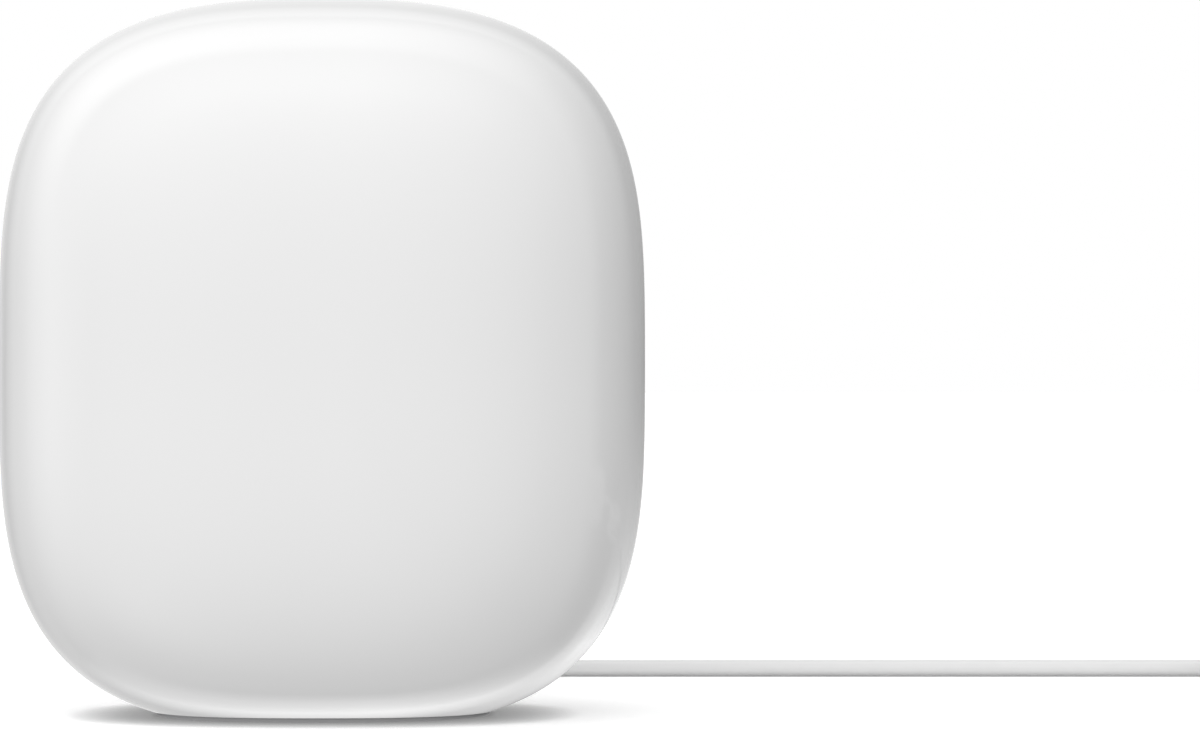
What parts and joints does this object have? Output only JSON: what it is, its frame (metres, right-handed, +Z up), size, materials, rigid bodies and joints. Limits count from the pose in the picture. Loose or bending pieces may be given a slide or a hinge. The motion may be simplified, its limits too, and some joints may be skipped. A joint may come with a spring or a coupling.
{
  "type": "wireless router",
  "caption": "Upright glossy pebble-shaped wireless mesh router on a small rubber foot, with rear ports, reset button, power lead and wall adapter.",
  "frame": {"origin": "on the floor, under the middle of the router's body", "axes": "+X right seen from the front, +Y to the rear where the ports are, +Z up"},
  "size_m": [0.3045, 0.1401, 0.13],
  "materials": {
    "gloss_shell": "high gloss, neutral white",
    "matte_white": "fine matte",
    "base_grey": "fine matte",
    "grey_rubber": "matte",
    "screw_steel": "zinc plated",
    "frame_plastic": "moulded, matte",
    "board_green": "solder mask over glass-fibre laminate",
    "sink_aluminium": "bead blasted",
    "thermal_pad": "soft, matte",
    "tin_plate": "tin plated, dull",
    "chip_black": "moulded epoxy",
    "gold_plate": "gold plated",
    "antenna_film": "copper on polyimide film",
    "coax_grey": "satin jacket",
    "led_clear": "clear moulded",
    "pipe_clear": "polished, translucent",
    "ferrite": "pressed, matte",
    "can_aluminium": "drawn can",
    "jack_black": "moulded, matte",
    "stem_ivory": "moulded, matte",
    "cord_white": "satin jacket",
    "plug_white": "overmoulded, satin",
    "adapter_white": "satin gloss",
    "nickel": "nickel plated",
    "winding": "taped winding"
  },
  "bodies": {
    "router": {"front_shell": "gloss_shell", "rear_shell": "gloss_shell", "base_plate": "base_grey", "foot_pad": "grey_rubber", "base_screws": "screw_steel", "chassis_frame": "frame_plastic", "main_board": "board_green", "board_screws": "screw_steel", "front_heat_sink": "sink_aluminium", "rear_heat_sink": "sink_aluminium", "rear_heat_sink_screws": "screw_steel", "thermal_pads": "thermal_pad", "processor_shield": "tin_plate", "radio_shields": "tin_plate", "processor_chip": "chip_black", "memory_chips": "chip_black", "radio_chips": "chip_black", "front_end_modules": "chip_black", "coax_sockets": "gold_plate", "antenna_left": "antenna_film", "antenna_right": "antenna_film", "antenna_top_left": "antenna_film", "antenna_top_right": "antenna_film", "antenna_cables": "coax_grey", "status_led": "led_clear", "light_pipe": "pipe_clear", "power_inductors": "ferrite", "bulk_capacitors": "can_aluminium", "network_transformers": "chip_black", "port_panel": "matte_white", "wan_jack_housing": "jack_black", "wan_jack_shield": "tin_plate", "wan_jack_contacts": "gold_plate", "lan_jack_housing": "jack_black", "lan_jack_shield": "tin_plate", "lan_jack_contacts": "gold_plate", "dc_jack_housing": "jack_black", "dc_jack_pin": "nickel", "dc_jack_spring": "gold_plate", "reset_switch_body": "jack_black"},
    "reset_button": {"reset_button": "matte_white", "reset_switch_stem": "stem_ivory"},
    "power_lead": {"dc_plug_barrel": "nickel", "dc_plug_insulator": "jack_black", "dc_plug_grip": "plug_white", "dc_plug_strain_relief": "plug_white", "cord_lead": "cord_white", "cord_coil": "cord_white", "cord_tail": "cord_white", "cord_tie": "plug_white", "adapter_strain_relief": "plug_white", "adapter_front_case": "adapter_white", "adapter_rear_case": "adapter_white", "adapter_blades": "nickel", "adapter_board": "board_green", "adapter_transformer": "winding", "adapter_capacitor": "can_aluminium"}
  },
  "joints": [
    {"name": "reset_press", "type": "slide", "parent": "router", "child": "reset_button", "axis": [0, -1, 0], "range_m": [0, 0.0008], "stiffness_N_per_m": 1500, "springref_m": -0.0004},
    {"name": "power_lead_pull", "type": "slide", "parent": "router", "child": "power_lead", "axis": [0, 1, 0], "range_m": [0, 0.0115]}
  ]
}
